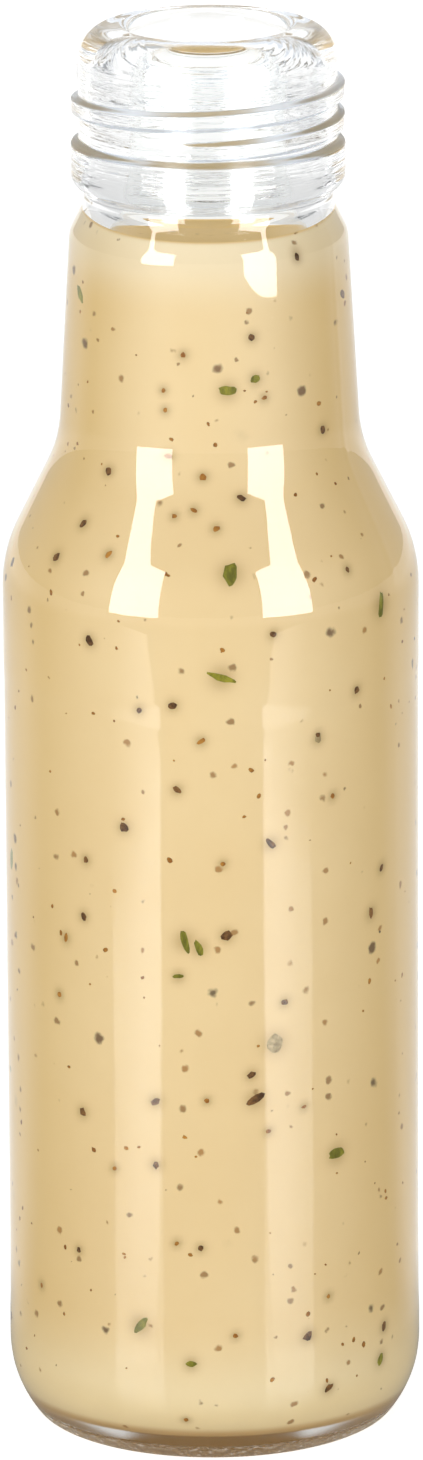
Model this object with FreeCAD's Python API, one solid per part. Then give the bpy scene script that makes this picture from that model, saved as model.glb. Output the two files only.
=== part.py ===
import FreeCAD, Part
import math
import os

# A clear glass bottle of creamy dressing, standing open: a round body, a sloping shoulder,
# a tapering neck and a moulded screw mouth, filled to just below the neck's waist.
# Lengths are in millimetres. The bottle stands on Z = 0 with its axis on Z.
# Azimuths are in degrees from +X, anticlockwise seen from above, and the front is at -90.

# Base and heel
punt_rise = 2.6
punt_flat_r = 18.5
bearing_inner_r = 21.4
foot_corner_r = 24.5
foot_blend_r = 2.8
heel_corner_z = 5.55
heel_blend_r = 16.0

# Body
body_r = 28.72

# Shoulder and neck: the corners that the blends round off, stacked from the bench up
shoulder_z = 123.65
shoulder_blend_r = 19.4
shoulder_rise = 15.9
neck_foot_r = 20.75
neck_foot_blend_r = 18.2
neck_rise = 28.0
throat_r = 19.15
throat_blend_r = 6.5
throat_rise = 6.9
waist_r = 16.95
waist_blend_r = 1.9

# Finish: the transfer bead, the plain wall that carries the thread, and the lip
bead_foot_rise = 2.7
bead_r = 18.8
bead_foot_blend_r = 2.2
bead_face_h = 3.9
bead_top_rise = 0.9
root_r = 17.65
finish_h = 15.4
lip_blend_r = 4.5

# Mouth: a true bore under a rounded inner rim
mouth_r = 10.6
mouth_rim_r = 1.6
mouth_bore_h = 12.0

# Screw thread: one start, right-handed, six turns to the inch
thread_pitch = 25.4 / 6
thread_depth = 1.03
thread_base_w = 2.9
thread_crest_w = 1.6
thread_turns = 1.8
thread_start_azimuth = -105.0
thread_start_rise = 1.15
thread_fade_deg = 40.0
thread_step_deg = 12.0
thread_bite = 0.5
thread_least = 0.1

# Glass thickness, measured level from the outside, and the cavity's blends
floor_thickness = 4.6
floor_blend_r = 6.5
body_wall = 2.35
inner_shoulder_blend_r = 14.0
neck_wall = 3.9
inner_neck_blend_r = 20.0
throat_wall = 4.9
throat_drop = 3.6

# Dressing: its level, the curl where it climbs the glass, and the film between them
fill_drop = 27.8
meniscus_rise = 0.5
meniscus_reach = 1.1
wetting_clearance = 0.05

# Bits that lie in the dressing's skin against the glass
leaf_thickness = 0.5
grain_thickness = 0.9
garlic_thickness = 1.2
pocket_clearance = 0.04
bit_cover = 0.8

# Each bit: azimuth, share of the fill's height, length, width, lean from upright.
# Those between -180 and 0 face the front; the rest carry the scatter round the back.
herb_leaves = [
    (-84, 0.750, 3.1, 1.9, -12),
    (-87, 0.655, 4.0, 1.2, 68),
    (-82, 0.883, 2.5, 1.6, 80),
    (-96, 0.427, 4.0, 2.8, 15),
    (-52, 0.235, 2.7, 1.6, -84),
    (-112, 0.092, 3.1, 1.1, -42),
    (-34, 0.056, 2.1, 1.2, -24),
    (-97, 0.062, 1.8, 1.1, 84),
    (-33, 0.685, 3.6, 1.2, 6),
    (24, 0.215, 3.0, 1.7, 40),
    (62, 0.430, 3.3, 1.5, 70),
    (97, 0.660, 3.0, 1.8, -50),
    (118, 0.335, 2.8, 1.2, 30),
    (139, 0.560, 3.4, 2.0, 78),
    (170, 0.762, 2.1, 1.4, 10),
]
pepper_grains = [
    (-127, 0.679, 1.5, 1.2, 20),
    (-101, 0.631, 1.3, 1.0, 75),
    (-116, 0.524, 1.4, 1.2, -30),
    (-73, 0.512, 1.7, 1.2, -70),
    (-86, 0.435, 1.5, 1.1, 55),
    (-79, 0.313, 1.3, 1.1, 20),
    (-78, 0.292, 2.5, 1.5, -70),
    (-107, 0.234, 1.2, 1.0, 0),
    (-62, 0.080, 1.8, 1.5, 40),
    (-70, 0.926, 1.1, 0.9, 10),
    (12, 0.520, 1.5, 1.2, 30),
    (73, 0.620, 1.4, 1.0, 15),
    (104, 0.205, 1.6, 1.2, 60),
    (146, 0.862, 1.2, 1.0, 45),
]
spice_grains = [
    (-87, 0.497, 0.8, 0.8, 60),
    (-55, 0.111, 1.0, 0.8, -30),
    (-101, 0.167, 0.9, 0.7, 45),
    (-137, 0.419, 1.1, 0.8, -20),
    (-65, 0.875, 0.8, 0.7, 30),
    (20, 0.400, 1.0, 0.8, -15),
    (133, 0.250, 1.0, 0.8, -65),
]
garlic_granules = [
    (-72, 0.339, 2.7, 2.4, 20),
    (-58, 0.403, 2.2, 1.7, -35),
    (55, 0.175, 2.2, 1.9, 50),
    (112, 0.585, 2.5, 2.0, 5),
]
leaf_sides = 5
grain_sides = 4
garlic_sides = 6
raggedness = 0.16

# How far the flats that make up a blend may leave its arc, outside and in the cavity
blend_sag = 0.08
cavity_sag = 0.13

# The shortest straight run that a profile keeps between two arcs
least_run = 1e-6

# How far the tool that opens the mouth runs on past the lip
over_lip = 4.0

# Heights that follow from the stack above
neck_foot_z = shoulder_z + shoulder_rise
throat_z = neck_foot_z + neck_rise
waist_z = throat_z + throat_rise
bead_foot_z = waist_z + bead_foot_rise
bead_top_z = bead_foot_z + bead_face_h
root_foot_z = bead_top_z + bead_top_rise
lip_z = root_foot_z + finish_h
mouth_foot_z = lip_z - mouth_rim_r - mouth_bore_h
fill_z = lip_z - fill_drop

axis = FreeCAD.Vector(0, 0, 1)
origin = FreeCAD.Vector(0, 0, 0)


def polar(radius, azimuth, height):
    """A point at this distance from the bottle's axis."""
    turn = math.radians(azimuth)
    return FreeCAD.Vector(radius * math.cos(turn), radius * math.sin(turn), height)


def blend_reaches(spots, radii):
    """How far each corner's arc reaches along its sides, limited by the runs beside it."""
    reaches = [0.0]
    for before, spot, after, radius in zip(spots, spots[1:], spots[2:], radii[1:]):
        half = (before - spot).getAngle(after - spot) / 2
        reaches.append(radius / math.tan(half))
    reaches.append(0.0)
    for i, (near, far) in enumerate(zip(spots, spots[1:])):
        asked = reaches[i] + reaches[i + 1]
        run = (far - near).Length
        if asked > run:
            reaches[i] = reaches[i] * run / asked
            reaches[i + 1] = reaches[i + 1] * run / asked
    return reaches


def rounded_path(corners):
    """Lines through (r, z, blend radius) corners in the XZ plane, joined by tangent arcs."""
    spots = [FreeCAD.Vector(r, 0, z) for r, z, _ in corners]
    reaches = blend_reaches(spots, [radius for _, _, radius in corners])
    edges = []
    start = spots[0]
    for before, spot, after, reach in zip(spots, spots[1:], spots[2:], reaches[1:]):
        inward = (before - spot).normalize()
        outward = (after - spot).normalize()
        first = spot + inward * reach
        if (first - start).Length > least_run:
            edges.append(Part.LineSegment(start, first).toShape())
        start = spot + outward * reach
        if reach > 0:
            half = inward.getAngle(outward) / 2
            lift = reach / math.cos(half) - reach * math.tan(half)
            middle = spot + (inward + outward).normalize() * lift
            edges.append(Part.Arc(first, middle, start).toShape())
    edges.append(Part.LineSegment(start, spots[-1]).toShape())
    return edges


def profile(corners, sag):
    """Points down a rounded path, whose flats leave its arcs by no more than sag."""
    points = [FreeCAD.Vector(corners[0][0], 0, corners[0][1])]
    for edge in rounded_path(corners):
        points += edge.discretize(Deflection=sag)[1:]
    return points


def turned(corners, sag):
    """The solid that a profile from the axis back to the axis sweeps round it."""
    points = profile(corners, sag)
    return Part.Face(Part.makePolygon(points + points[:1])).revolve(origin, axis, 360)


def outer_form():
    """The bottle's outside as one solid, from the punt under the base to the flat lip."""
    return turned([
        (0, punt_rise, 0),
        (punt_flat_r, punt_rise, 0),
        (bearing_inner_r, 0, 0),
        (foot_corner_r, 0, foot_blend_r),
        (body_r, heel_corner_z, heel_blend_r),
        (body_r, shoulder_z, shoulder_blend_r),
        (neck_foot_r, neck_foot_z, neck_foot_blend_r),
        (throat_r, throat_z, throat_blend_r),
        (waist_r, waist_z, waist_blend_r),
        (bead_r, bead_foot_z, bead_foot_blend_r),
        (bead_r, bead_top_z, 0),
        (root_r, root_foot_z, 0),
        (root_r, lip_z, lip_blend_r),
        (0, lip_z, 0),
    ], blend_sag)


def cavity_corners(inset):
    """The profile of the space inside the glass, drawn in by inset, up past the lip."""
    return [
        (0, floor_thickness + inset, 0),
        (body_r - body_wall - inset, floor_thickness + inset, floor_blend_r - inset),
        (body_r - body_wall - inset, shoulder_z, inner_shoulder_blend_r - inset),
        (neck_foot_r - neck_wall - inset, neck_foot_z, inner_neck_blend_r),
        (throat_r - throat_wall - inset, throat_z - throat_drop, 0),
        (mouth_r - inset, mouth_foot_z, 0),
        (mouth_r - inset, lip_z, mouth_rim_r),
        (bead_r + over_lip, lip_z, 0),
        (bead_r + over_lip, lip_z + over_lip, 0),
        (0, lip_z + over_lip, 0),
    ]


def cavity(inset):
    """The space inside the glass, drawn in by inset, and all that lies over the lip."""
    return turned(cavity_corners(inset), cavity_sag)


def thread_section(azimuth, climb, share):
    """The thread's outline where it has turned to this azimuth, at this share of its depth."""
    middle_z = root_foot_z + thread_start_rise + climb
    sunk_r = root_r - thread_bite
    crest_r = sunk_r + (thread_bite + thread_depth) * share
    corners = [
        polar(sunk_r, azimuth, middle_z - thread_base_w / 2),
        polar(crest_r, azimuth, middle_z - thread_crest_w / 2),
        polar(crest_r, azimuth, middle_z + thread_crest_w / 2),
        polar(sunk_r, azimuth, middle_z + thread_base_w / 2),
    ]
    return Part.makePolygon(corners + corners[:1])


def screw_thread():
    """The raised helix, whose ends sink into the wall that carries it."""
    turn = 360 * thread_turns
    steps = math.ceil(turn / thread_step_deg)
    sections = []
    for i in range(steps + 1):
        swept = turn * i / steps
        from_end = min(swept, turn - swept) / thread_fade_deg
        share = thread_least + (1 - thread_least) * math.sin(math.pi / 2 * min(from_end, 1))
        climb = thread_pitch * swept / 360
        sections.append(thread_section(thread_start_azimuth + swept, climb, share))
    return Part.makeLoft(sections, True, True)


def glass_bottle():
    """The moulded bottle: outer form with its thread, less the cavity and the mouth."""
    return outer_form().fuse(screw_thread()).cut(cavity(0)).removeSplitter()


def headspace():
    """Everything over the dressing's level, whose edge curls up where it meets the glass."""
    throat = (throat_r - throat_wall, throat_z - throat_drop)
    share = (fill_z - throat[1]) / (mouth_foot_z - throat[1])
    wall_r = throat[0] + (mouth_r - throat[0]) * share
    return turned([
        (0, fill_z, 0),
        (wall_r - meniscus_reach, fill_z, 2 * meniscus_reach),
        (wall_r, fill_z + meniscus_rise, 0),
        (body_r, fill_z + meniscus_rise, 0),
        (body_r, lip_z + over_lip, 0),
        (0, lip_z + over_lip, 0),
    ], cavity_sag)


def wall_at(height):
    """The wetted face's radius at this height, and the angle by which it leans inward there."""
    points = profile(cavity_corners(wetting_clearance), cavity_sag)
    for low, high in zip(points, points[1:]):
        if low.z < height <= high.z:
            break
    share = (height - low.z) / (high.z - low.z)
    return low.x + (high.x - low.x) * share, math.atan2(low.x - high.x, high.z - low.z)


def ragged_outline(length, width, sides):
    """An uneven outline as (across, up) points."""
    points = []
    for i in range(sides):
        turn = 2 * math.pi * i / sides
        size = 1 + raggedness * math.cos(3 * turn + length)
        points.append((width / 2 * size * math.sin(turn), length / 2 * size * math.cos(turn)))
    return points


def bit(place, sides, depth, growth, reach):
    """One flat bit against the wetted face, grown by growth, and run outward by reach."""
    azimuth, share, length, width, lean = place
    height = floor_thickness + share * (fill_z - floor_thickness)
    wall_r, slope = wall_at(height)
    outward = polar(math.cos(slope), azimuth, math.sin(slope))
    right = polar(1, azimuth + 90, 0)
    up = outward.cross(right)
    bow = (length + growth) ** 2 / (8 * wall_r)
    centre = polar(wall_r, azimuth, height) - outward * (bow + depth + growth)
    turn = math.radians(lean)
    spots = [
        centre
        + right * (across * math.cos(turn) + along * math.sin(turn))
        + up * (along * math.cos(turn) - across * math.sin(turn))
        for across, along in ragged_outline(length + growth, width + growth, sides)
    ]
    plate = Part.Face(Part.makePolygon(spots + spots[:1]))
    return plate.extrude(outward * (depth + growth + reach))


def bits(places, sides, depth):
    """A group of bits, one solid each."""
    return Part.makeCompound([bit(place, sides, depth, 0, 0) for place in places])


def dressing(kinds):
    """The filling, up to its level, with a pocket open to the glass for each bit."""
    pockets = [
        bit(place, sides, depth, pocket_clearance, bit_cover)
        for places, sides, depth in kinds
        for place in places
    ]
    return cavity(wetting_clearance).cut(headspace()).cut(Part.makeCompound(pockets))


def export(shape, node):
    """Write one node's solids, and say how many there are and how much they hold."""
    solids = shape.Solids
    whole = solids[0] if len(solids) == 1 else Part.makeCompound(solids)
    whole.exportStep("parts/" + node + ".step")
    print(node, len(solids), "solids", round(whole.Volume), "mm3", whole.isValid())


os.makedirs("parts", exist_ok=True)
kinds = {
    "herb_leaves": (herb_leaves, leaf_sides, leaf_thickness),
    "pepper_grains": (pepper_grains, grain_sides, grain_thickness),
    "spice_grains": (spice_grains, grain_sides, grain_thickness),
    "garlic_granules": (garlic_granules, garlic_sides, garlic_thickness),
}
export(glass_bottle(), "glass_bottle")
export(dressing(kinds.values()), "dressing")
for node, kind in kinds.items():
    export(bits(*kind), node)
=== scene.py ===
import math
import random

import bpy
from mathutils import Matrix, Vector, noise

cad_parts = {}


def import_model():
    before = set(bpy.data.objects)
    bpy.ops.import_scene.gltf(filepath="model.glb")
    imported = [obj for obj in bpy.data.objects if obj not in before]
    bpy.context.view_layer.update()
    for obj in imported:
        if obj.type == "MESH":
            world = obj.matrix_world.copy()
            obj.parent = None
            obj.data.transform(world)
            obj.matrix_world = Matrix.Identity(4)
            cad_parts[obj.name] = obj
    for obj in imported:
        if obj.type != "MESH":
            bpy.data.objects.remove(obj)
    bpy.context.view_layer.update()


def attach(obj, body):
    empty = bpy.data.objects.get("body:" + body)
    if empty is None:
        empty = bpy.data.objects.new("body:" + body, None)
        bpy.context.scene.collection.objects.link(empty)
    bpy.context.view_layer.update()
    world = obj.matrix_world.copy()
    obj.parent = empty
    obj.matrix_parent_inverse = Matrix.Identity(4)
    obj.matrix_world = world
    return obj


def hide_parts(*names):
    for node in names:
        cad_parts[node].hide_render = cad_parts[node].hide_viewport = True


# A clear glass bottle of creamy dressing. Profiles are (radius, height) in millimetres and are
# turned into metres as they become meshes. Azimuths are in degrees, and the front is at -90.

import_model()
MM = 0.001

# Outside of the glass
BODY_R = 28.70
PANEL_R = 28.62
SHOULDER_Z = 123.65
NECK_FOOT = (20.75, 139.55)
THROAT = (19.08, 168.84)
WAIST_R = 17.02
WAIST_FOOT_Z = 173.06
WAIST_TOP_Z = 174.55
BEAD_R = 18.78
BEAD_FOOT_Z = 175.9
BEAD_TOP_Z = 181.3
ROOT_R = 17.65
ROOT_FOOT_Z = 181.8
LIP_Z = 197.33

# Screw thread: one start, right-handed, six turns to the inch
THREAD_PITCH = 25.4 / 6
THREAD_DEPTH = 1.02
THREAD_BASE_W = 2.9
THREAD_CREST_W = 1.7
THREAD_TURNS = 1.8
THREAD_START = -105.0
THREAD_START_RISE = 1.3
THREAD_FADE = 40.0

# Inside of the glass: a crowned floor, and a neck that follows the outside up to the bore
PUNT_RISE = 3.8
FLOOR_CROWN_Z = 6.8
FLOOR_Z = 4.15
CAVITY_R = 26.37
INNER_NECK_FOOT_R = 16.85
INNER_THROAT = (14.9, 166.3)
INNER_WAIST = (11.9, 172.0)
MOUTH_R = 10.6
MOUTH_FOOT_Z = 179.4

# Dressing: it reaches a hair into the glass, so that no air shows between the two
FILL_Z = 168.8
WETTED = 0.15
MENISCUS_RISE = 0.7
MENISCUS_REACH = 1.6
STAIN_REACH = 0.45

SEGMENTS = 288
ARC_STEP = 2.5
EDGE_RUN = 0.25


# Profiles and lathes

def blend_reaches(corners):
    """How far each corner's blend reaches along its sides; blends that meet on a side share it."""
    spots = [Vector((r, z)) for r, z, _ in corners]
    reaches = [0.0] * len(corners)
    halves = [0.0] * len(corners)
    for i in range(1, len(corners) - 1):
        halves[i] = (spots[i - 1] - spots[i]).angle(spots[i + 1] - spots[i]) / 2
        reaches[i] = corners[i][2] / math.tan(halves[i])
    shares = [1.0] * len(corners)
    for i in range(len(corners) - 1):
        room = 0.98 * (spots[i + 1] - spots[i]).length
        asked = reaches[i] + reaches[i + 1]
        if asked > room:
            shares[i] = min(shares[i], room / asked)
            shares[i + 1] = min(shares[i + 1], room / asked)
    return [reach * share for reach, share in zip(reaches, shares)], halves


def rounded(corners, step=ARC_STEP):
    """Points along (radius, height, blend radius) corners, each blend an arc in small steps. A straight
    run gets a point close to each end, which keeps its shading straight."""
    spots = [Vector((r, z)) for r, z, _ in corners]
    reaches, halves = blend_reaches(corners)
    points = [spots[0]]
    for i in range(1, len(spots)):
        reach, half = reaches[i], halves[i]
        inward = (spots[i - 1] - spots[i]).normalized()
        arrival = spots[i] + inward * reach
        if (arrival - points[-1]).length > 3 * EDGE_RUN:
            points.append(points[-1] - inward * EDGE_RUN)
            points.append(arrival + inward * EDGE_RUN)
        if reach < 1e-3:
            points.append(spots[i])
            continue
        outward = (spots[i + 1] - spots[i]).normalized()
        centre = spots[i] + (inward + outward).normalized() * (reach / math.cos(half))
        first = arrival - centre
        last = spots[i] + outward * reach - centre
        turn = math.pi - 2 * half
        count = max(2, math.ceil(math.degrees(turn) / step))
        for k in range(count + 1):
            share = k / count
            mix = first * math.sin((1 - share) * turn) + last * math.sin(share * turn)
            points.append(centre + mix / math.sin(turn))
    return points


def refined(points, low, high, least_r, spacing):
    """The same line with extra points on stretches between the heights low and high and beyond least_r."""
    out = [points[0]]
    for start, end in zip(points, points[1:]):
        inside = min(start.y, end.y) < high and max(start.y, end.y) > low and min(start.x, end.x) > least_r
        count = max(1, math.ceil((end - start).length / spacing)) if inside else 1
        out += [start.lerp(end, i / count) for i in range(1, count + 1)]
    return out


def lathe(name, points, radius_of=None, segments=SEGMENTS, seam=0.0):
    """A mesh turned round the axis; points at radius 0 close it, and radius_of reshapes it."""
    verts, rings = [], []
    for point in points:
        if point.x < 1e-4:
            rings.append([len(verts)])
            verts.append((0, 0, point.y * MM))
            continue
        rings.append(list(range(len(verts), len(verts) + segments)))
        for i in range(segments):
            azimuth = seam + 360 * i / segments
            radius = radius_of(point, azimuth) if radius_of else point.x
            turn = math.radians(azimuth)
            verts.append((radius * MM * math.cos(turn), radius * MM * math.sin(turn), point.y * MM))
    faces = []
    for low, high in zip(rings, rings[1:]):
        for i in range(segments):
            j = (i + 1) % segments
            if len(low) == 1:
                faces.append((low[0], high[j], high[i]))
            elif len(high) == 1:
                faces.append((low[i], low[j], high[0]))
            else:
                faces.append((low[i], low[j], high[j], high[i]))
    return mesh_object(name, verts, faces)


def mesh_object(name, verts, faces):
    """A smooth-shaded mesh object in the scene."""
    mesh = bpy.data.meshes.new(name)
    mesh.from_pydata(verts, [], faces)
    mesh.polygons.foreach_set("use_smooth", [True] * len(mesh.polygons))
    mesh.update()
    obj = bpy.data.objects.new(name, mesh)
    bpy.context.collection.objects.link(obj)
    return obj


def settle(obj, material, slot, *nodes):
    """Gives a piece its material and its body, and hides the CAD nodes that it stands for; its slot is not used."""
    obj.data.materials.append(material)
    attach(obj, "root")
    if nodes:
        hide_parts(*nodes)
    return obj


# Node helpers

class Nodes:
    """Builds one material's node tree."""

    def __init__(self, name):
        self.material = bpy.data.materials.new(name)
        self.material.use_nodes = True
        self.tree = self.material.node_tree
        self.tree.nodes.clear()
        self.output = self.tree.nodes.new("ShaderNodeOutputMaterial")

    def add(self, kind, inputs=None, **settings):
        node = self.tree.nodes.new("ShaderNode" + kind)
        for key, value in settings.items():
            setattr(node, key, value)
        for key, value in (inputs or {}).items():
            if isinstance(value, bpy.types.NodeSocket):
                self.tree.links.new(value, node.inputs[key])
            else:
                node.inputs[key].default_value = value
        return node

    def math(self, operation, a, b=0.0, c=0.0, clamp=False):
        return self.add("Math", {0: a, 1: b, 2: c}, operation=operation, use_clamp=clamp).outputs[0]

    def mix(self, factor, a, b):
        node = self.tree.nodes.new("ShaderNodeMix")
        node.data_type = "RGBA"
        for index, value in ((0, factor), (6, a), (7, b)):
            if isinstance(value, bpy.types.NodeSocket):
                self.tree.links.new(value, node.inputs[index])
            else:
                node.inputs[index].default_value = value
        return node.outputs[2]

    def smooth(self, value, start, end, low=0.0, high=1.0):
        node = self.add("MapRange", {"Value": value, "From Min": start, "From Max": end,
                                     "To Min": low, "To Max": high}, interpolation_type="SMOOTHSTEP")
        return node.outputs["Result"]

    def finish(self, shader):
        self.tree.links.new(shader, self.output.inputs["Surface"])
        return self.material


def srgb(r, g, b):
    """A linear colour from the sRGB values that it should look like."""
    def linear(c):
        c = c / 255
        return c / 12.92 if c <= 0.04045 else ((c + 0.055) / 1.055) ** 2.4
    return (linear(r), linear(g), linear(b), 1.0)


# Materials

FINISH_LOW = 0.1755


def glass_material():
    """Clear flint glass: faint waviness all over, a stippled ring under the foot, and painted grey-blue shade on the
    finish's thread flanks.
    """
    n = Nodes("clear_glass")
    place = n.add("TexCoord").outputs["Object"]
    height = n.add("SeparateXYZ", {0: place}).outputs["Z"]
    waves = n.add("TexNoise", {"Vector": place, "Scale": 55.0, "Detail": 2.0, "Roughness": 0.5})
    drawn = n.add("VectorMath", {0: place, 1: (60.0, 60.0, 1500.0)}, operation="MULTIPLY").outputs[0]
    ripples = n.add("TexNoise", {"Vector": drawn, "Scale": 1.0, "Detail": 2.0, "Roughness": 0.55})
    low = n.smooth(height, FINISH_LOW, FINISH_LOW + 0.003)
    high = n.smooth(height, LIP_Z * MM - 0.0055, LIP_Z * MM - 0.0035, 1.0, 0.04)
    moulded = n.math("MULTIPLY", ripples.outputs["Fac"], n.math("MULTIPLY", low, high))
    stipple = n.add("TexVoronoi", {"Vector": place, "Scale": 1300.0}, feature="SMOOTH_F1")
    at_foot = n.smooth(height, 0.0016, 0.0026, 1.0, 0.0)
    dimples = n.math("MULTIPLY", stipple.outputs["Distance"], at_foot)
    wavy = n.add("Bump", {"Strength": 0.1, "Distance": 0.0006, "Height": waves.outputs["Fac"]})
    rippled = n.add("Bump", {"Strength": 1.0, "Distance": 0.00014, "Height": moulded, "Normal": wavy.outputs[0]})
    bump = n.add("Bump", {"Strength": 1.0, "Distance": 0.001, "Height": dimples, "Normal": rippled.outputs[0]})
    upright = n.math("ABSOLUTE", n.add("SeparateXYZ", {0: n.add("NewGeometry").outputs["Normal"]}).outputs["Z"], 0.0)
    flank = n.math("MULTIPLY", n.smooth(upright, 0.12, 0.5), n.math("MULTIPLY", low, high))
    heel = n.smooth(height, 0.004, 0.0065, 0.14, 0.0)
    worn = n.math("ADD", n.math("MULTIPLY", flank, 0.3), n.math("MAXIMUM", n.math("MULTIPLY", at_foot, 0.4), heel))
    # Painted shade: the thread flanks of the finish are tinted grey-blue; elsewhere this is the glass's own faint tint.
    glass_tint_and_flank_shade = n.mix(flank, (0.985, 0.995, 0.992, 1), (0.64, 0.72, 0.84, 1))
    glass = n.add("BsdfPrincipled", {
        "Base Color": glass_tint_and_flank_shade,
        "Roughness": n.math("ADD", worn, n.math("ADD", n.math("MULTIPLY", low, 0.02), 0.012)),
        "IOR": 1.52,
        "Transmission Weight": 1.0,
        "Normal": bump.outputs[0],
    })
    rays = n.add("LightPath")
    clear = n.add("BsdfTransparent", {"Color": (1, 1, 1, 1)})
    inner = n.add("MixShader", {0: rays.outputs["Is Diffuse Ray"], 1: glass.outputs[0], 2: clear.outputs[0]})
    outer = n.add("MixShader", {0: rays.outputs["Is Shadow Ray"], 1: inner.outputs[0], 2: clear.outputs[0]})
    return n.finish(outer.outputs[0])


def specks(n, place, scale, radius, share, soft):
    """How much of a random scatter of round specks covers each point, and each one's own random number."""
    cell = n.add("TexVoronoi", {"Vector": place, "Scale": scale}, feature="F1")
    chance = n.add("SeparateColor", {0: cell.outputs["Color"]})
    size = n.math("MULTIPLY", chance.outputs["Green"], radius)
    edge = n.math("DIVIDE", cell.outputs["Distance"], n.math("MAXIMUM", size, 0.001))
    cover = n.smooth(edge, 1.0 - soft, 1.0, 1.0, 0.0)
    present = n.math("LESS_THAN", chance.outputs["Red"], share)
    return n.math("MULTIPLY", cover, present), chance.outputs["Blue"]


def dressing_material():
    """Creamy emulsion with ground spice in it: dust, small grains and blurred sunken bits. Painted shade darkens its
    silhouettes, its level top and its underside; painted light makes it paler at the foot, and painted sheen with a
    thin film makes it paler near the fill line.
    """
    n = Nodes("cream_dressing")
    place = n.add("TexCoord").outputs["Object"]
    drift = n.add("TexNoise", {"Vector": place, "Scale": 32.0, "Detail": 3.0, "Roughness": 0.55})
    mottle = n.add("TexNoise", {"Vector": place, "Scale": 420.0, "Detail": 3.0, "Roughness": 0.6})
    wobble = n.add("TexNoise", {"Vector": place, "Scale": 900.0, "Detail": 2.0})
    bent = n.add("VectorMath", {0: wobble.outputs["Color"], 1: (0.5, 0.5, 0.5)}, operation="SUBTRACT")
    shift = n.add("VectorMath", {0: bent.outputs[0], "Scale": 0.0009}, operation="SCALE")
    near = n.add("VectorMath", {0: place, 1: shift.outputs[0]}, operation="ADD").outputs[0]
    tone = n.mix(n.smooth(drift.outputs["Fac"], 0.3, 0.7), srgb(233, 204, 150), srgb(237, 210, 158))
    tone = n.mix(n.math("MULTIPLY", mottle.outputs["Fac"], 0.12), tone, srgb(224, 188, 120))
    # Painted shade: deeper caramel towards the silhouettes, where the light falls off.
    painted_edge_shade = n.add("LayerWeight", {"Blend": 0.5})
    tone = n.mix(n.smooth(painted_edge_shade.outputs["Facing"], 0.02, 0.32, 0.0, 0.75), tone, srgb(226, 190, 116))
    height = n.add("SeparateXYZ", {0: place}).outputs["Z"]
    # Paler towards the fill line: painted sheen, with a thin film of cream at the meniscus.
    tone = n.mix(n.smooth(height, 0.160, 0.1698, 0.0, 0.5), tone, srgb(250, 240, 212))
    # Painted light from the floor: paler towards the foot.
    tone = n.mix(n.smooth(height, 0.005, 0.022, 0.45, 0.0), tone, srgb(255, 244, 206))
    upward = n.add("SeparateXYZ", {0: n.add("NewGeometry").outputs["Normal"]}).outputs["Z"]
    # Painted shade: a deeper golden tone on the level top, which the light reaches less.
    tone = n.mix(n.smooth(upward, 0.6, 0.95), tone, srgb(236, 200, 130))
    # Painted shade: browner on the underside, which lies in shadow.
    tone = n.mix(n.smooth(upward, -0.97, -0.8, 1.0, 0.0), tone, srgb(206, 168, 104))
    dust, dust_kind = specks(n, near, 420.0, 0.30, 0.46, 0.55)
    dust_tone = n.mix(dust_kind, srgb(166, 112, 40), srgb(128, 92, 46))
    tone = n.mix(n.math("MULTIPLY", dust, 0.85), tone, dust_tone)
    grain, grain_kind = specks(n, near, 190.0, 0.22, 0.24, 0.55)
    grain_tone = n.mix(grain_kind, srgb(112, 72, 28), srgb(78, 60, 34))
    tone = n.mix(n.math("MULTIPLY", grain, 0.9), tone, grain_tone)
    sunk, sunk_kind = specks(n, near, 75.0, 0.17, 0.34, 0.95)
    sunk_tone = n.mix(sunk_kind, srgb(152, 124, 72), srgb(120, 108, 66))
    tone = n.mix(n.math("MULTIPLY", sunk, 0.38), tone, sunk_tone)
    stained = n.math("MULTIPLY", n.add("Attribute", attribute_name="stain").outputs["Fac"], 0.6)
    tone = n.mix(stained, tone, srgb(158, 124, 66))
    bump = n.add("Bump", {"Strength": 0.12, "Distance": 0.0002, "Height": mottle.outputs["Fac"]})
    shader = n.add("BsdfPrincipled", {
        "Base Color": tone,
        "Roughness": 0.55,
        "IOR": 1.3,
        "Normal": bump.outputs[0],
    })
    return n.finish(shader.outputs[0])


def bit_material(name, dark, light, scale, roughness, streak=1.0):
    """A dried fleck: two tones in streaks, with a rough skin."""
    n = Nodes(name)
    place = n.add("TexCoord").outputs["Object"]
    drawn = n.add("VectorMath", {0: place, 1: (1.0, 1.0, streak)}, operation="MULTIPLY").outputs[0]
    grain = n.add("TexNoise", {"Vector": drawn, "Scale": scale, "Detail": 4.0, "Roughness": 0.65})
    patch = n.add("TexNoise", {"Vector": place, "Scale": scale * 0.2, "Detail": 1.0})
    blend = n.math("ADD", n.math("MULTIPLY", grain.outputs["Fac"], 0.65), n.math("MULTIPLY", patch.outputs["Fac"], 0.5))
    tone = n.mix(n.smooth(blend, 0.4, 0.78), dark, light)
    bump = n.add("Bump", {"Strength": 0.5, "Distance": 0.0002, "Height": grain.outputs["Fac"]})
    shader = n.add("BsdfPrincipled", {
        "Base Color": tone,
        "Roughness": roughness,
        "IOR": 1.15,
        "Normal": bump.outputs[0],
    })
    return n.finish(shader.outputs[0])


# Glass

def thread_height(height, azimuth):
    """How far the thread stands out of the wall here."""
    rise = 0.0
    turn = THREAD_TURNS * 360
    swept = (azimuth - THREAD_START) % 360
    while swept <= turn:
        from_end = min(swept, turn - swept) / THREAD_FADE
        share = math.sin(math.pi / 2 * min(from_end, 1))
        middle = ROOT_FOOT_Z + THREAD_START_RISE + THREAD_PITCH * swept / 360
        run = (THREAD_BASE_W - THREAD_CREST_W) / 2
        level = 1 - (abs(height - middle) - THREAD_CREST_W / 2) / run
        level = max(0.0, min(1.0, level))
        rise = max(rise, share * level * level * (3 - 2 * level))
        swept += 360
    return rise * THREAD_DEPTH


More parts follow.
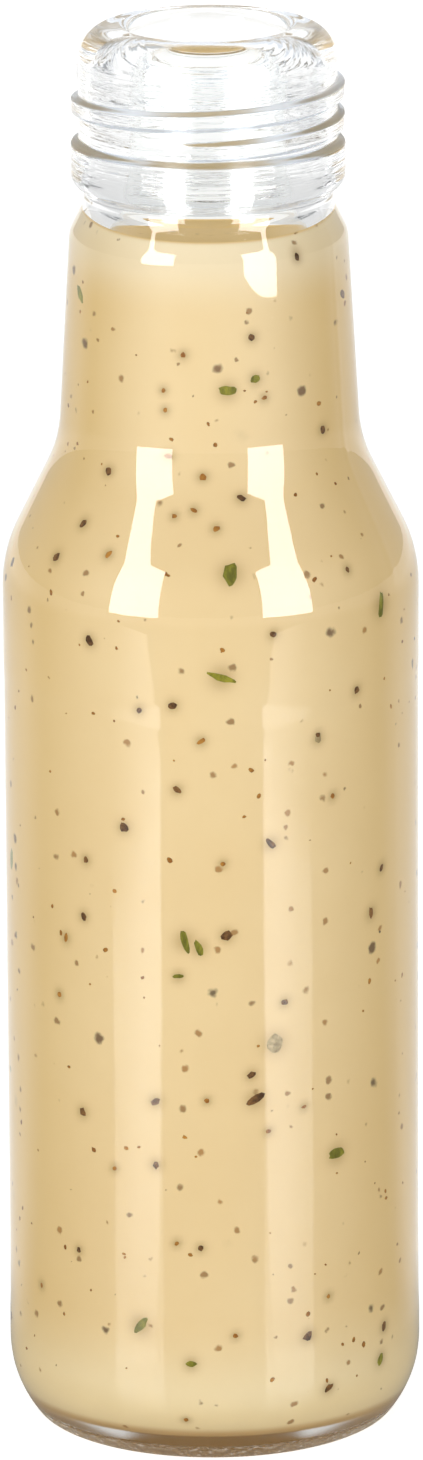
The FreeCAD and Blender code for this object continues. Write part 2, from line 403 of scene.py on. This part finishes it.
def seam_height(azimuth):
    """The faint mould seam, which runs up opposite sides of the bottle."""
    away = abs((azimuth - SEAM_AZIMUTH + 90) % 180 - 90)
    return SEAM_RISE * math.exp(-(away / SEAM_WIDTH) ** 2)


SEAM_AZIMUTH = -28.0
SEAM_RISE = 0.05
SEAM_WIDTH = 0.9


def outer_radius(point, azimuth):
    """The glass's outside with its thread, seams and slight unevenness."""
    radius = point.x
    if point.y > ROOT_FOOT_Z - 1 and point.x > ROOT_R - 3:
        radius += thread_height(point.y, azimuth)
    if 8 < point.y < WAIST_TOP_Z and point.x > WAIST_R - 0.5:
        turn = math.radians(azimuth)
        spot = Vector((math.cos(turn) * point.x, math.sin(turn) * point.x, point.y)) * 0.035
        fade = min(1.0, max(0.0, (BODY_R - radius) / 0.5))
        radius += 0.03 * noise.noise(spot) - 0.02 + seam_height(azimuth) * fade
    return radius


def inner_corners(inset):
    """The cavity's profile from the floor's middle up into the mouth's bore."""
    return [
        (0, FLOOR_CROWN_Z + inset, 0),
        (6.0, FLOOR_CROWN_Z + inset, 14.0),
        (18.0, FLOOR_Z + inset, 9.0),
        (CAVITY_R - inset, FLOOR_Z + inset, 7.0),
        (CAVITY_R - inset, SHOULDER_Z, 14.0),
        (INNER_NECK_FOOT_R - inset, NECK_FOOT[1], 20.0),
        (INNER_THROAT[0] - inset, INNER_THROAT[1], 7.0),
        (INNER_WAIST[0] - inset, INNER_WAIST[1], 3.0),
        (MOUTH_R - inset, MOUTH_FOOT_Z, 9.0),
        (MOUTH_R - inset, LIP_Z - 9, 0),
    ]


def glass_profile():
    """Right round the glass's section, from under the base over the lip to the cavity's floor."""
    outside = rounded([
        (0, PUNT_RISE, 0),
        (6.0, PUNT_RISE, 16.0),
        (21.4, 0.0, 0.8),
        (24.5, 0.0, 2.8),
        (BODY_R, 5.55, 16.0),
        (BODY_R, 14.5, 30.0),
        (PANEL_R, 17.0, 30.0),
        (PANEL_R, 106.0, 30.0),
        (BODY_R, 108.5, 30.0),
        (BODY_R, SHOULDER_Z, 19.4),
        (*NECK_FOOT, 18.2),
        (*THROAT, 4.0),
        (WAIST_R, WAIST_FOOT_Z, 6.5),
        (WAIST_R, WAIST_TOP_Z, 1.0),
        (BEAD_R, BEAD_FOOT_Z, 2.2),
        (BEAD_R, BEAD_TOP_Z, 0.8),
        (ROOT_R, ROOT_FOOT_Z, 0.6),
        (ROOT_R, LIP_Z, 4.5),
        (MOUTH_R, LIP_Z, 1.6),
        (MOUTH_R, LIP_Z - 9, 0),
    ])
    outside = refined(outside, ROOT_FOOT_Z - 0.5, LIP_Z, ROOT_R - 3, 0.16)
    inside = rounded(inner_corners(0))
    return outside[:-1] + inside[::-1]


def glass_bottle():
    """The bottle as one closed skin."""
    return lathe("glass_bottle_shell", glass_profile(), outer_radius)


# Dressing

WALL = rounded(inner_corners(-WETTED))


def wall_at(height):
    """The wetted face's radius at this height, and its lean inward in radians."""
    for low, high in zip(WALL, WALL[1:]):
        if low.y < height <= high.y:
            share = (height - low.y) / (high.y - low.y)
            return low.x + (high.x - low.x) * share, math.atan2(low.x - high.x, high.y - low.y)
    return WALL[-1].x, 0.0


def fill_profile():
    """The filling's profile: the cavity's face up to the fill, the curl at its edge, and the level top."""
    rim_z = FILL_Z + MENISCUS_RISE
    rim_r, _ = wall_at(rim_z)
    points = [p for p in refined(WALL, 0, rim_z, 0, 0.7) if p.y < rim_z - 0.2]
    points.append(Vector((rim_r, rim_z)))
    steps = 10
    for i in range(steps + 1):
        share = i / steps
        drop = 1 - (1 - share) ** 2.4
        points.append(Vector((rim_r - WETTED - MENISCUS_REACH * share, rim_z - MENISCUS_RISE * drop)))
    for share in (0.75, 0.5, 0.25):
        points.append(Vector((rim_r * share, FILL_Z)))
    points.append(Vector((0, FILL_Z)))
    return points


def dressing():
    """The filling as one closed skin."""
    return lathe("dressing_fill", fill_profile())


# Bits against the glass

def on_wall(azimuth, height, across, along, out):
    """A point this far round, along and out of the wetted face from a place on it, in metres."""
    _, lean = wall_at(height)
    z = height + along * math.cos(lean)
    radius, lean = wall_at(z)
    turn = math.radians(azimuth) + across / radius
    reach = radius + out * math.cos(lean)
    return (reach * MM * math.cos(turn), reach * MM * math.sin(turn), (z + out * math.sin(lean)) * MM)


def flake(verts, faces, place, shape, rng):
    """Adds one flake that lies in the wetted face: a ragged domed outline with a root behind it."""
    azimuth, height, length, width, lean = place
    sides, ragged, proud, depth = shape
    turn = math.radians(lean)
    sizes = [1 + ragged * (rng.random() - 0.5) * 2 for _ in range(sides)]
    rings = []
    for scale, out in ((0.8, -depth), (1.0, -0.02), (0.93, proud * 0.7), (0.6, proud)):
        ring = []
        for i in range(sides):
            angle = 2 * math.pi * i / sides
            size = sizes[i] * scale
            a = width / 2 * size * math.sin(angle)
            b = length / 2 * size * math.cos(angle)
            across = a * math.cos(turn) + b * math.sin(turn)
            along = b * math.cos(turn) - a * math.sin(turn)
            ring.append(len(verts))
            verts.append(on_wall(azimuth, height, across, along, out))
        rings.append(ring)
    for low, high in zip(rings, rings[1:]):
        for i in range(sides):
            j = (i + 1) % sides
            faces.append((low[i], low[j], high[j], high[i]))
    for ring, out, flip in ((rings[0], -depth, True), (rings[-1], proud * 1.05, False)):
        middle = len(verts)
        verts.append(on_wall(azimuth, height, 0, 0, out))
        for i in range(sides):
            j = (i + 1) % sides
            faces.append((ring[j], ring[i], middle) if flip else (ring[i], ring[j], middle))


def stain(obj, places):
    """Marks the cream round each bit, where its juice has run."""
    mark = obj.data.attributes.new("stain", "FLOAT", "POINT")
    spots = [(Vector(on_wall(p[0], p[1], 0, 0, 0)), ((p[2] + p[3]) / 4 + STAIN_REACH) * MM) for p in places]
    for i, vertex in enumerate(obj.data.vertices):
        level = 0.0
        for spot, reach in spots:
            if abs(vertex.co.z - spot.z) < 2 * reach:
                level = max(level, math.exp(-((vertex.co - spot).length / reach) ** 2))
        mark.data[i].value = level


def bits(name, places, shape, seed):
    """One piece that holds every bit of a kind."""
    rng = random.Random(seed)
    verts, faces = [], []
    for place in places:
        flake(verts, faces, place, shape, rng)
    return mesh_object(name, verts, faces)


def scattered(count, seed, length, width, back_only):
    """Random places for bits: azimuth, height, length, width, lean."""
    rng = random.Random(seed)
    places = []
    while len(places) < count:
        azimuth = rng.uniform(-180, 180)
        if back_only and -165 < azimuth < -15:
            continue
        height = FLOOR_Z + 3 + (FILL_Z - FLOOR_Z - 5) * rng.random()
        if rng.random() > wall_at(height)[0] / CAVITY_R:
            continue
        size = rng.random() ** 1.6
        places.append((
            azimuth, height,
            length[0] + (length[1] - length[0]) * size,
            width[0] + (width[1] - width[0]) * size,
            rng.uniform(-90, 90),
        ))
    return places


# Bits that the front shows: azimuth, height, length, width, lean clockwise from upright
LEAVES = [
    (-84, 126.4, 3.2, 1.9, 8), (-87, 112.7, 4.2, 1.0, 107), (-82, 150.2, 2.4, 1.4, 95),
    (-69, 151.6, 1.4, 1.0, 70), (-98, 75.5, 3.6, 1.0, -14), (-94, 74.6, 2.6, 0.9, -20),
    (-52, 43.4, 2.6, 1.5, 84), (-112, 19.9, 3.1, 1.1, 38), (-34, 11.6, 2.0, 1.1, 24),
    (-97, 14.8, 1.6, 0.9, 88), (-33, 119.6, 3.7, 1.2, 8), (-100, 70.5, 1.6, 0.6, 85),
]
PEPPER = [
    (-127, 116.6, 1.4, 1.2, -30), (-101, 108.7, 1.2, 1.0, 75), (-111, 107.8, 0.9, 0.8, 10),
    (-116, 91.0, 1.4, 1.2, 0), (-73, 89.0, 1.8, 0.8, -40), (-86, 76.3, 1.5, 1.3, 55),
    (-79, 56.3, 1.3, 0.9, 60), (-78, 52.8, 2.7, 1.2, 62), (-107, 52.4, 1.5, 0.9, 60),
    (-131, 49.3, 1.3, 1.0, -20), (-107, 43.3, 1.2, 0.9, 0), (-62, 17.8, 1.6, 1.3, 40),
    (-32, 16.0, 1.5, 0.9, 10), (-55, 9.7, 1.6, 0.9, 55), (-78, 135.5, 1.3, 0.9, -55),
    (-70, 157.3, 1.0, 0.9, 10), (-34, 143.1, 1.2, 1.0, 5), (-43, 167.2, 0.9, 0.8, 5),
    (-130, 77.4, 1.2, 0.9, -25), (-129, 85.5, 1.0, 0.8, 10), (-44, 108.7, 1.1, 0.9, 30),
    (-38, 76.5, 1.8, 0.9, 0), (-33, 82.4, 1.2, 0.8, 20), (-69, 66.3, 0.9, 0.9, 0),
    (-135, 137.9, 1.3, 0.9, -30), (-138, 130.9, 1.4, 0.9, 25), (-144, 126.2, 1.3, 1.1, 0),
    (-72, 118.4, 0.9, 0.9, 0), (-58, 103.5, 0.8, 0.7, 0), (-45, 125.2, 0.8, 0.7, 0),
    (-94, 31.6, 0.8, 0.7, 20), (-100, 96.9, 1.3, 0.8, -40), (-133, 29.2, 0.8, 0.7, 0),
]
SPICE = [
    (-93, 103.8, 1.4, 0.7, 60), (-87, 86.5, 0.7, 0.7, 0), (-92, 52.8, 0.7, 0.7, 0),
    (-84, 18.9, 0.7, 0.7, 20), (-101, 32.2, 0.7, 0.6, 45), (-137, 73.7, 1.4, 0.7, 10),
    (-74, 48.1, 0.7, 0.6, 70), (-99, 6.6, 0.7, 0.6, 15), (-93, 138.4, 1.2, 0.9, 0),
    (-108, 141.1, 1.2, 0.7, 90), (-88, 131.9, 1.0, 0.8, 60), (-103, 133.3, 0.7, 0.7, 0),
    (-96, 134.1, 1.0, 0.6, -60), (-124, 127.9, 1.3, 0.7, 35), (-102, 155.1, 0.9, 0.7, 0),
    (-111, 150.1, 0.7, 0.6, 0), (-110, 147.4, 0.7, 0.6, 0), (-65, 148.9, 0.8, 0.6, 80),
    (-140, 65.3, 1.0, 0.8, 30), (-63, 51.0, 0.8, 0.5, 80), (-53, 94.5, 0.8, 0.7, 0),
    (-150, 22.1, 0.8, 0.6, 0), (-55, 23.0, 0.7, 0.6, 0), (-120, 42.1, 0.7, 0.6, 0),
]
GRANULES = [(-72, 60.6, 2.7, 2.4, 20), (-58, 103.0, 1.2, 1.0, 0)]


# Camera, from the photograph's vanishing and the bottle's own ellipses

TARGET = Vector((0, 0, 98 * MM))
DISTANCE = 1.479
ELEVATION = math.radians(15.168)
ROLL = math.radians(0.33)
FOCAL_PX = 10700.0
FRAME_H_PX = 1460.0


def camera():
    """The camera at the photograph's angle."""
    data = bpy.data.cameras.new("camera")
    data.sensor_width = 36.0
    data.lens = FOCAL_PX / FRAME_H_PX * data.sensor_width
    data.clip_start = 0.05
    data.clip_end = 60.0
    obj = bpy.data.objects.new("camera", data)
    back = Vector((0, -math.cos(ELEVATION), math.sin(ELEVATION)))
    obj.location = TARGET + back * DISTANCE
    look = (-back).to_track_quat("-Z", "Y").to_matrix().to_4x4()
    look.translation = obj.location
    from mathutils import Matrix
    obj.matrix_world = look @ Matrix.Rotation(-ROLL, 4, "Z")
    bpy.context.collection.objects.link(obj)
    bpy.context.scene.camera = obj


# Studio

FLOOR_HALF = 8.0
PLATE_R = 0.45
# Brightness of the floor's painted reflection of the softboxes.
PAINTED_REFLECTION_GLOW = 1.7


def floor():
    """A pale floor: plain white to the camera and through glass, slightly polished where it is mirrored, with a painted
    reflection of the softboxes that glows for mirrors and, at about half strength, for matt surfaces.
    """
    n = Nodes("pale_floor")
    place = n.add("TexCoord").outputs["Object"]
    flat = n.add("VectorMath", {0: place}, operation="LENGTH").outputs["Value"]
    split = n.add("SeparateXYZ", {0: place})
    across = n.math("ABSOLUTE", split.outputs["X"], 0.0)
    around = n.math("ARCTAN2", across, n.math("MULTIPLY", split.outputs["Y"], -1.0))
    near = n.smooth(flat, PLATE_R - 0.02, PLATE_R + 0.02, 1.0, 0.0)
    rays = n.add("LightPath")
    paint = n.mix(rays.outputs["Is Glossy Ray"], (0.8, 0.8, 0.8, 1), (0.25, 0.25, 0.25, 1))
    matte = n.add("BsdfDiffuse", {"Color": paint})
    sheen = n.add("BsdfGlossy", {"Color": (1, 1, 1, 1), "Roughness": 0.12})
    fresnel = n.add("Fresnel", {"IOR": 1.45})
    polish = n.math("MULTIPLY", fresnel.outputs[0], n.math("MULTIPLY", near, 0.7))
    polished = n.add("MixShader", {0: polish, 1: matte.outputs[0], 2: sheen.outputs[0]})
    edge = n.math("SUBTRACT", flat, n.math("MULTIPLY", n.math("SUBTRACT", around, 0.49), 0.75))
    # Painted reflection: a glowing patch on the floor towards each softbox, where its mirror image would fall; it also
    # lights matt surfaces.
    painted_softbox_reflection = n.math("MULTIPLY", n.smooth(around, 0.46, 0.5), n.smooth(around, 0.55, 1.0, 1.0, 0.0))
    painted_softbox_reflection = n.math("MULTIPLY", n.math("MULTIPLY", painted_softbox_reflection, n.smooth(edge, 0.39, 0.42, 1.0, 0.0)), PAINTED_REFLECTION_GLOW)
    painted_softbox_reflection = n.math("MULTIPLY", painted_softbox_reflection, n.smooth(flat, 0.06, 0.14))
    behind = n.math("MULTIPLY", n.smooth(around, 1.75, 2.2, 0.0, 0.75), n.smooth(flat, 0.04, 0.09))
    beneath = n.smooth(flat, 0.027, 0.031, 0.05, 0.0)
    spread = n.smooth(flat, 0.5, 1.2, 0.12, 0.6)
    mirror = rays.outputs["Is Glossy Ray"]
    share = n.math("MAXIMUM", mirror, 0.55)
    lit = n.math("ADD", n.math("MULTIPLY", painted_softbox_reflection, share), n.math("MULTIPLY", behind, mirror))
    bright = n.math("ADD", n.math("MAXIMUM", beneath, spread), lit)
    far = n.add("Emission", {"Color": (1, 1, 1, 1), "Strength": bright})
    mirrored = n.add("AddShader", {0: polished.outputs[0], 1: far.outputs[0]})
    glow = n.add("Emission", {"Color": (1, 1, 1, 1), "Strength": n.math("MAXIMUM", n.smooth(flat, 0.1, 0.8, 0.7, 1.0), rays.outputs["Is Transmission Ray"])})
    plain = n.add("AddShader", {0: matte.outputs[0], 1: glow.outputs[0]})
    direct = n.math("MAXIMUM", rays.outputs["Is Camera Ray"], rays.outputs["Is Transmission Ray"])
    seen = n.add("MixShader", {0: direct, 1: mirrored.outputs[0], 2: plain.outputs[0]})
    material = n.finish(seen.outputs[0])
    h = FLOOR_HALF
    obj = mesh_object("floor", [(-h, -h, 0), (h, -h, 0), (h, h, 0), (-h, h, 0)], [(0, 1, 2, 3)])
    obj.data.materials.append(material)


def bearing(azimuth, distance):
    """A floor point on a bearing from the camera's side, positive to the right."""
    turn = math.radians(azimuth)
    return Vector((math.sin(turn) * distance, -math.cos(turn) * distance, 0))


# Each softbox stands with its inner edge farther off than its outer one: (bearing, distance)
BOX_INNER = (28.0, 0.740)
BOX_OUTER = (56.0, 0.631)
BOX_TOP = 0.600


def softbox(name, side, low, lamp, mirror):
    """A softbox on one side (-1 left, 1 right), standing from low up: a lamp for matt surfaces, and a
    panel of another brightness that only reflections and refractions see."""
    inner = bearing(side * BOX_INNER[0], BOX_INNER[1])
    outer = bearing(side * BOX_OUTER[0], BOX_OUTER[1])
    width = (outer - inner).length
    height = BOX_TOP - low
    middle = (inner + outer) / 2 + Vector((0, 0, (low + BOX_TOP) / 2))
    along = (outer - inner).normalized()
    facing = Vector((0, 0, 1)).cross(along) * side
    turn = facing.to_track_quat("-Z", "Y")

    data = bpy.data.lights.new(name + "_lamp", "AREA")
    data.shape = "RECTANGLE"
    data.size = width
    data.size_y = height
    data.energy = lamp * width * height * math.pi
    light = bpy.data.objects.new(name + "_lamp", data)
    bpy.context.collection.objects.link(light)
    light.visible_camera = False
    light.visible_glossy = False
    light.visible_transmission = False

    n = Nodes(name)
    glow = n.add("Emission", {"Color": (1, 1, 1, 1), "Strength": mirror})
    material = n.finish(glow.outputs[0])
    w, h = width / 2, height / 2
    panel = mesh_object(name, [(-w, -h, 0), (w, -h, 0), (w, h, 0), (-w, h, 0)], [(0, 1, 2, 3)])
    panel.data.materials.append(material)
    panel.visible_camera = False
    panel.visible_diffuse = False
    panel.visible_shadow = False
    for obj in (light, panel):
        obj.location = middle
        obj.rotation_mode = "QUATERNION"
        obj.rotation_quaternion = turn


def overhead():
    """A soft lamp straight above, for the liquid's level top, the shoulder and the floor."""
    data = bpy.data.lights.new("overhead_lamp", "AREA")
    data.shape = "SQUARE"
    data.size = 0.45
    data.energy = OVERHEAD
    light = bpy.data.objects.new("overhead_lamp", data)
    bpy.context.collection.objects.link(light)
    light.visible_camera = False
    light.visible_glossy = False
    light.visible_transmission = False
    light.location = (0, 0, 0.75)


def world():
    """Even soft light for matt surfaces; mirrors and glass see white behind the bottle, a dim room in front."""
    sky = bpy.data.worlds.new("studio")
    bpy.context.scene.world = sky
    sky.use_nodes = True
    tree = sky.node_tree
    tree.nodes.clear()
    add = tree.nodes.new
    output = add("ShaderNodeOutputWorld")
    place = add("ShaderNodeTexCoord")
    split = add("ShaderNodeSeparateXYZ")
    tree.links.new(place.outputs["Generated"], split.inputs[0])
    back = add("ShaderNodeMapRange")
    back.interpolation_type = "SMOOTHSTEP"
    for key, value in (("From Min", 0.2), ("From Max", 0.65), ("To Min", DIM_ROOM), ("To Max", 1.0)):
        back.inputs[key].default_value = value
    tree.links.new(split.outputs["Y"], back.inputs["Value"])
    through = add("ShaderNodeMapRange")
    through.interpolation_type = "SMOOTHSTEP"
    for key, value in (("From Min", -0.3), ("From Max", 0.2), ("To Min", 0.05), ("To Max", 1.0)):
        through.inputs[key].default_value = value
    tree.links.new(split.outputs["Y"], through.inputs["Value"])
    rays = add("ShaderNodeLightPath")
    pick = add("ShaderNodeMix")
    tree.links.new(rays.outputs["Is Transmission Ray"], pick.inputs[0])
    tree.links.new(back.outputs[0], pick.inputs[2])
    tree.links.new(through.outputs[0], pick.inputs[3])
    seen = add("ShaderNodeBackground")
    tree.links.new(pick.outputs[0], seen.inputs["Strength"])
    fill = add("ShaderNodeBackground")
    fill.inputs["Strength"].default_value = FILL_LIGHT
    mix = add("ShaderNodeMixShader")
    tree.links.new(rays.outputs["Is Diffuse Ray"], mix.inputs[0])
    tree.links.new(seen.outputs[0], mix.inputs[1])
    tree.links.new(fill.outputs[0], mix.inputs[2])
    tree.links.new(mix.outputs[0], output.inputs["Surface"])


DIM_ROOM = 0.5
FILL_LIGHT = 0.27
OVERHEAD = 1.2

glass = settle(glass_bottle(), glass_material(), "clear_glass", "glass_bottle")
filling = settle(dressing(), dressing_material(), "cream_dressing", "dressing")
stain(filling, LEAVES + PEPPER + SPICE + GRANULES)

herb = bit_material("green_herb", srgb(96, 94, 14), srgb(164, 158, 46), 1400.0, 0.55, 0.4)
pepper = bit_material("black_pepper", srgb(70, 44, 16), srgb(144, 100, 50), 1800.0, 0.6)
spice = bit_material("red_spice", srgb(132, 78, 16), srgb(188, 132, 50), 1600.0, 0.5)
garlic = bit_material("garlic", srgb(128, 108, 66), srgb(210, 188, 140), 1200.0, 0.5)

settle(bits("herb_flakes", LEAVES + scattered(26, 11, (1.2, 3.6), (0.7, 1.8), True), (14, 0.16, 0.05, 0.35), 1),
       herb, "green_herb", "herb_leaves")
settle(bits("pepper_flecks", PEPPER + scattered(40, 12, (0.6, 1.6), (0.5, 1.2), True), (10, 0.22, 0.05, 0.4), 2),
       pepper, "black_pepper", "pepper_grains")
settle(bits("spice_flecks", SPICE + scattered(240, 13, (0.3, 0.95), (0.25, 0.7), False), (8, 0.2, 0.04, 0.3), 3),
       spice, "red_spice", "spice_grains")
settle(bits("garlic_bits", GRANULES + scattered(6, 14, (1.2, 2.4), (1.0, 2.0), True), (16, 0.12, 0.04, 0.5), 4),
       garlic, "garlic", "garlic_granules")

camera()
floor()
world()
overhead()
softbox("softbox_left", -1, 0.095, 4.1, 11.0)
softbox("softbox_right", 1, 0.086, 2.65, 11.0)

bpy.context.scene.view_settings.view_transform = "Standard"
